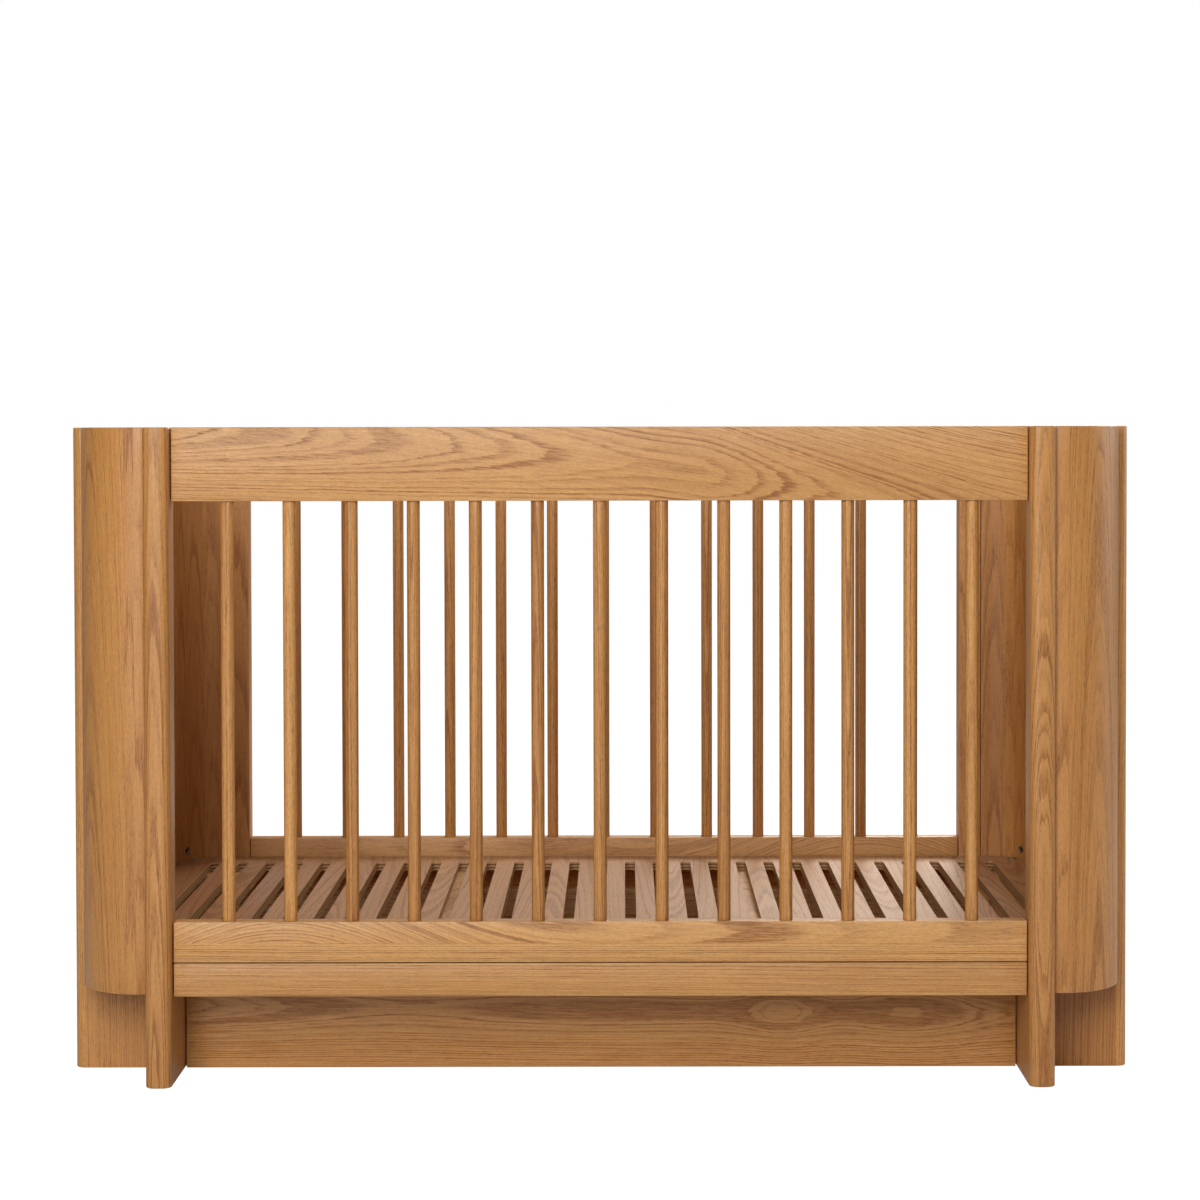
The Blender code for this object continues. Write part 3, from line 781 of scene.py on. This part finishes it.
def buildPlinth(side, sy):
    low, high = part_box(f"{side}_plinth")
    plinth = buildBoard(f"{side}Plinth", low, high, skirt["sections"], skirt["ease"])
    face, inside = (low.y, high.y) if sy < 0 else (high.y, low.y)
    holes = []
    for end, sx in ends:
        hole = addRound("hole", (0, 0, 0), barrelNut["radius"] + gap, 2 * barrelNut["holeDepth"],
                        barrelNut["holeSteps"])
        hole.matrix_world = nutSeat(sx, inside, pi / 2)
        applyPlace(hole)
        holes.append(hole)
    drill(plinth, holes)
    log = makeLog((0, face, 0), depth=(0, -sy, 0), **plinthLog)
    layGrain(plinth, lambda c: log)
    finishPiece(plinth, railOak, "frame", [f"{side}_plinth"])
    for end, sx in ends:
        nut = addRound(f"barrelNut{side.title()}{end.title()}", (0, 0, -barrelNut["sunk"]),
                       barrelNut["radius"], barrelNut["length"], barrelNut["steps"])
        bevelEdges(nut, barrelNut["ease"], 2, lambda a, b: a.z > -0.001 and b.z > -0.001)
        x, y, z = barrelNut["slot"]
        drill(nut, [addBlock("slot", (-x, -y, -z), (x, y, 0.002))])
        nut.matrix_world = nutSeat(sx, inside, sy * pi / 2)
        applyPlace(nut)
        finishPiece(nut, zincSteel, "frame", [f"{side}_plinth"])


buildSkirts()
print("aprons, ledges and plinths ready")

base = {
    "joints": (-0.614, -0.472, -0.315, -0.158, 0.005, 0.168, 0.328, 0.487, 0.613),  # between leaves of veneer
    # the end leaves' darker tones are painted shade from the end walls, partly a darker veneer
    "endShadeTones": {0: 0.50, 1: 0.40, 2: 0.08, 8: 0.02, 9: 0.06},
    "cornerSteps": 12, "slots": 29, "slotPitch": 0.043, "slotShift": -0.0025, "slotWidth": 0.0155,
    "slotMargin": 0.0595, "bearerSections": 10, "bearerEase": 0.0015,
}
bolt = {"place": (0.640, 0.324), "steps": 36, "headRadius": 0.0068, "headEase": 0.0008,
        "shankRadius": 0.0030, "tipEase": 0.0004, "holeDepth": 0.06, "holeSteps": 20,
        "nutRadius": 0.0058, "nutHeight": 0.006, "nutEase": 0.0006}


def buildBase():
    board = addBlock("mattressBase", baseLow, baseHigh)
    corner = cornerRadius - wall - (innerLength - baseHigh.x)
    bevelEdges(board, corner, base["cornerSteps"], lambda a, b: runsAlong(2, a, b))
    for joint in base["joints"]:
        cutAcross(board, (joint, 0, 0), (1, 0, 0))
    half, reach = base["slotWidth"] / 2, innerWidth - base["slotMargin"]
    first = base["slotShift"] - (base["slots"] - 1) / 2 * base["slotPitch"]
    slots = addBlock("slots", (first - half, -reach, baseLow.z - 0.01),
                     (first + half, reach, baseHigh.z + 0.01))
    bevelEdges(slots, half - gap, 4, lambda a, b: runsAlong(2, a, b))
    useModifier(slots, "ARRAY", {"count": base["slots"], "use_relative_offset": False,
                                 "use_constant_offset": True,
                                 "constant_offset_displace": (base["slotPitch"], 0, 0)})
    x, y = bolt["place"]
    holes = [addRound("hole", (sx * x, sy * y, baseLow.z), bolt["shankRadius"] + gap, bolt["holeDepth"],
                      bolt["holeSteps"]) for _, sx in ends for _, sy in sides]
    drill(board, [slots] + holes)
    cutFace = board.data.attributes.new("cutFace", "FLOAT", "FACE")
    for face in board.data.polygons:
        cutFace.data[face.index].value = 1.0 if abs(face.normal.z) < 0.5 else 0.0
    stops = list(base["joints"]) + [baseHigh.x + gap]
    logs = []
    for number, (start, stop) in enumerate(zip([baseLow.x] + stops, stops)):
        # leaves at the ends take darker tones: painted shade from the end walls, partly a darker veneer
        tone = base["endShadeTones"].get(number, 0.05 * (number * 3 % 4 - 1.5))
        logs.append((stop, makeLog(((start + stop) / 2, 0, baseHigh.z), along="y", across="x",
                                   depth=(0, 0, -1), pith=0.05, taper=0.035 * (-1) ** number,
                                   offset=0.012 * (number % 3 - 1), rings=0.0034, tone=tone,
                                   shift=130 + 2.9 * number)))
    layGrain(board, lambda c: next(log for stop, log in logs if c.x < stop))
    finishPiece(board, slottedPly, "mattress_base_unit", ["mattress_base"])
    for end, sx in ends:
        low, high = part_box(f"base_bearer_{end}")
        bearer = addBlock(f"baseBearer{end.title()}", low, high)
        divideAlong(bearer, 1, base["bearerSections"])
        easeEdges(bearer, base["bearerEase"], 2)
        log = makeLog(((low.x + high.x) / 2, 0, high.z), along="y", across="x", depth=(0, 0, -1), pith=0.07,
                      tone=-0.1, shift=160.0 + 3 * sx)
        layGrain(bearer, lambda c: log)
        finishPiece(bearer, railOak, "mattress_base_unit", [f"base_bearer_{end}"])


def buildBolts():
    x, y = bolt["place"]
    low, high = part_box("base_bolt_front_right")
    under = baseLow.z - gap
    headHigh, headLow = high.z, baseHigh.z + gap
    head = addRound("boltModel", (0, 0, (headHigh + headLow) / 2), bolt["headRadius"],
                    headHigh - headLow, bolt["steps"])
    bevelEdges(head, bolt["headEase"], 3, lambda a, b: min(a.z, b.z) > headHigh - 1e-5)
    pick(head, "FACE", lambda c, n: n.z < -0.9)
    bpy.ops.mesh.inset(thickness=bolt["headRadius"] - bolt["shankRadius"])
    bpy.ops.mesh.extrude_region_move(TRANSFORM_OT_translate={"value": (0, 0, low.z - headLow)})
    closeEdit()
    bevelEdges(head, bolt["tipEase"], 2, lambda a, b: max(a.z, b.z) < low.z + 1e-5)
    nut = addRound("nut", (0, 0, under - bolt["nutHeight"] / 2), bolt["nutRadius"], bolt["nutHeight"], 6)
    easeEdges(nut, bolt["nutEase"], 2)
    model = joinPieces([head, nut])
    for side, sy in sides:
        for end, sx in ends:
            copy = copyPiece(model, f"baseBolt{side.title()}{end.title()}", move=(sx * x, sy * y, 0))
            finishPiece(copy, zincSteel, "mattress_base_unit", [f"base_bolt_{side}_{end}"])
    bpy.data.objects.remove(model)


buildBase()
buildBolts()
print("mattress base ready")

stage = {"floor": 12.0, "floorGlow": 0.90, "surround": 0.03, "mirrored": 0.46, "background": 1.0}
camera = {"place": (0.0316, -3.9305, 0.8547), "pitch": 1.3541, "roll": 0.0983, "lens": 81.597,
          "shift": (-0.01958, -0.08567)}
lamps = {
    "keyLamp": {"place": (-1.0, -4.2, 2.6), "size": 2.4, "power": 76},
    "frontLamp": {"place": (0.4, -4.2, 2.8), "size": 2.4, "power": 42},
    "lowLamp": {"place": (-1.2, -3.6, 1.0), "size": 1.6, "power": 27},
    "sideLamp": {"place": (3.5, 0.5, 1.5), "size": 2.4, "power": 38},
    "topLamp": {"place": (0.0, 0.0, 3.5), "size": 3.0, "power": 14},
    "backLamp": {"place": (1.2, 3.6, 2.6), "size": 2.4, "power": 116, "color": (1.0, 0.87, 0.74)},
}


def buildStage():
    makeActive(None)
    bpy.ops.mesh.primitive_plane_add(size=stage["floor"] * 2)
    floor = bpy.context.object
    floor.name = "studioFloor"
    material = bpy.data.materials.new("studioPaper")
    material.use_nodes = True
    tree = material.node_tree
    tree.nodes.clear()
    matte = addNode(tree, "ShaderNodeBsdfDiffuse", {}, {"Color": (0.88, 0.88, 0.88, 1)})
    glow = addNode(tree, "ShaderNodeEmission", {}, {"Color": (1, 1, 1, 1), "Strength": 1.16})
    rays = tree.nodes.new("ShaderNodeLightPath")
    share = calc(tree, "MULTIPLY", rays.outputs["Is Camera Ray"], stage["floorGlow"])
    blend = addNode(tree, "ShaderNodeMixShader", {}, {0: share, 1: matte.outputs[0], 2: glow.outputs[0]})
    addNode(tree, "ShaderNodeOutputMaterial", {}, {0: blend.outputs[0]})
    floor.data.materials.append(material)
    world = bpy.data.worlds.new("studio")
    bpy.context.scene.world = world
    world.use_nodes = True
    tree = world.node_tree
    tree.nodes.clear()
    rays = tree.nodes.new("ShaderNodeLightPath")
    seen = calc(tree, "MULTIPLY", rays.outputs["Is Camera Ray"], stage["background"])
    where = addNode(tree, "ShaderNodeTexCoord", {}, {}).outputs["Generated"]
    behind = addNode(tree, "ShaderNodeSeparateXYZ", {}, {0: where}).outputs["Y"]
    backdrop = ramp(tree, behind, 0.2, 0.7, stage["surround"], stage["mirrored"])
    mirrored = calc(tree, "MULTIPLY", rays.outputs["Is Glossy Ray"], backdrop)
    strength = calc(tree, "MAXIMUM", calc(tree, "MAXIMUM", seen, mirrored), stage["surround"])
    tint = blendColours(tree, rays.outputs["Is Camera Ray"], (1.0, 0.90, 0.78, 1), (1, 1, 1, 1))
    sky = addNode(tree, "ShaderNodeBackground", {}, {"Color": tint, "Strength": strength})
    addNode(tree, "ShaderNodeOutputWorld", {}, {0: sky.outputs[0]})
    bpy.context.scene.view_settings.view_transform = "Standard"


def buildLamps():
    for name, lamp in lamps.items():
        bpy.ops.object.light_add(type="AREA", location=lamp["place"])
        light = bpy.context.object
        light.name = name
        light.data.shape = "DISK"
        light.data.size = lamp["size"]
        light.data.energy = lamp["power"]
        light.data.color = lamp.get("color", (1, 1, 1))
        aim = Vector((0, 0, 0.45)) - Vector(lamp["place"])
        light.rotation_euler = aim.to_track_quat("-Z", "Y").to_euler()


def buildCamera():
    bpy.ops.object.camera_add(location=camera["place"],
                              rotation=(radians(90 - camera["pitch"]), radians(camera["roll"]), 0))
    eye = bpy.context.object
    eye.name = "viewCamera"
    eye.data.sensor_width = 36
    eye.data.lens = camera["lens"]
    eye.data.shift_x, eye.data.shift_y = camera["shift"]
    bpy.context.scene.camera = eye


makeActive(None)
buildStage()
buildLamps()
buildCamera()
print("stage, lamps and camera ready")

bpy.context.view_layer.update()
